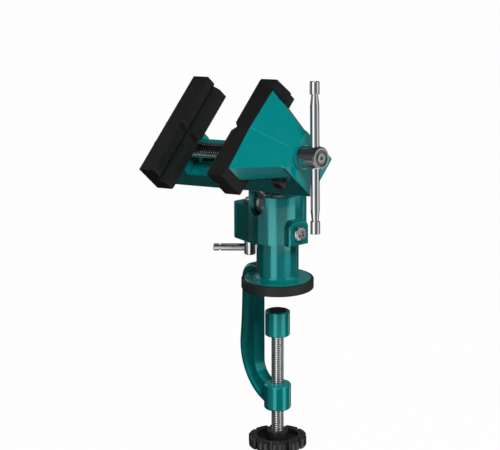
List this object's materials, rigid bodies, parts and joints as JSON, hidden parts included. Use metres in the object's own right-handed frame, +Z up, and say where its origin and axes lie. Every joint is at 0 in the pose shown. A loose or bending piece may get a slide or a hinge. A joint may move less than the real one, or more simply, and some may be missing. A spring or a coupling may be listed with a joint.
{
  "type": "ball joint vise",
  "caption": "Clamp-on bench vise on a lockable ball joint: a C-clamp holds a table edge, and the tilting head grips work between soft jaws moved by a spindle with a sliding bar",
  "frame": {"origin": "middle of the rubber foot's underside, on the column's axis, where the vise sits on the table top", "axes": "+Z up along the column; -X towards the C-clamp's spine, so the table comes in from +X; -Y towards the socket's notch, where the head tilts"},
  "size_m": [0.1526, 0.11, 0.2562],
  "materials": {
    "teal_paint": "glossy textured enamel",
    "bright_steel": "polished plating",
    "steel": "turned steel",
    "black_plastic": "matte moulded",
    "black_rubber": "matte",
    "dark_steel": "blackened",
    "seat_plastic": "natural nylon"
  },
  "bodies": {
    "base": {"clamp_frame": "teal_paint", "base_ring": "black_rubber", "ball_socket": "teal_paint", "socket_screw": "bright_steel", "ball_seat": "seat_plastic"},
    "brake": {"brake_shoe": "steel"},
    "lock": {"cam_shaft": "steel", "shaft_ring": "dark_steel", "lever_hub": "bright_steel", "lever_rod": "bright_steel"},
    "foot": {"pressure_pad": "teal_paint", "pad_cap": "black_rubber"},
    "clamp": {"clamp_screw": "steel", "clamp_knob": "black_plastic", "pad_clip": "dark_steel"},
    "ball": {"ball_stud": "steel", "stud_bolt": "dark_steel"},
    "head": {"vise_body": "teal_paint", "fixed_jaw_pad": "black_plastic", "spindle_retaining_screw": "dark_steel", "bed_stop_screw": "dark_steel"},
    "jaw": {"movable_jaw": "teal_paint", "movable_jaw_pad": "black_plastic", "jaw_keeper": "steel", "keeper_screws": "dark_steel", "spindle_nut": "steel"},
    "screw": {"spindle": "bright_steel", "thrust_washer": "bright_steel"},
    "handle": {"tee_bar": "bright_steel", "tee_bar_caps": "bright_steel"}
  },
  "joints": [
    {"name": "ball_swing", "type": "hinge", "parent": "base", "child": "ball", "pos_m": [0, 0, 0.056], "axis": [1, 0, 0], "range_deg": [-74, 30]},
    {"name": "head_spin", "type": "hinge", "parent": "ball", "child": "head", "pos_m": [0, 0, 0.056], "axis": [0, -0.6947, 0.7193], "continuous": true},
    {"name": "spindle_turn", "type": "hinge", "parent": "head", "child": "screw", "pos_m": [0.07071, -0.02813, 0.10307], "axis": [0.9848, 0.1249, 0.1206], "range_deg": [-8138, 1028]},
    {"name": "jaw_slide", "type": "slide", "parent": "head", "child": "jaw", "axis": [0.9848, 0.1249, 0.1206], "range_m": [-0.0057, 0.0452]},
    {"name": "tee_bar_slide", "type": "slide", "parent": "screw", "child": "handle", "axis": [-0.133, 0.0962, 0.9864], "range_m": [-0.03, 0.03]},
    {"name": "lock_turn", "type": "hinge", "parent": "base", "child": "lock", "pos_m": [-0.029, 0, 0.0202], "axis": [0, 0, 1], "range_deg": [-100, 0]},
    {"name": "brake_slide", "type": "slide", "parent": "base", "child": "brake", "axis": [1, 0, 0], "range_m": [-0.00048, 0]},
    {"name": "foot_travel", "type": "slide", "parent": "base", "child": "foot", "axis": [0, 0, 1], "range_m": [-0.03, 0.014]},
    {"name": "clamp_turn", "type": "hinge", "parent": "foot", "child": "clamp", "pos_m": [0, 0, -0.06], "axis": [0, 0, 1], "range_deg": [-8642, 4034]}
  ],
  "couplings": [
    {"joint": "spindle_turn", "follows": "jaw_slide", "rad_per_m": -3141.6},
    {"joint": "brake_slide", "follows": "lock_turn", "m_per_rad": 0.00026929},
    {"joint": "clamp_turn", "follows": "foot_travel", "rad_per_m": 5026.5}
  ]
}
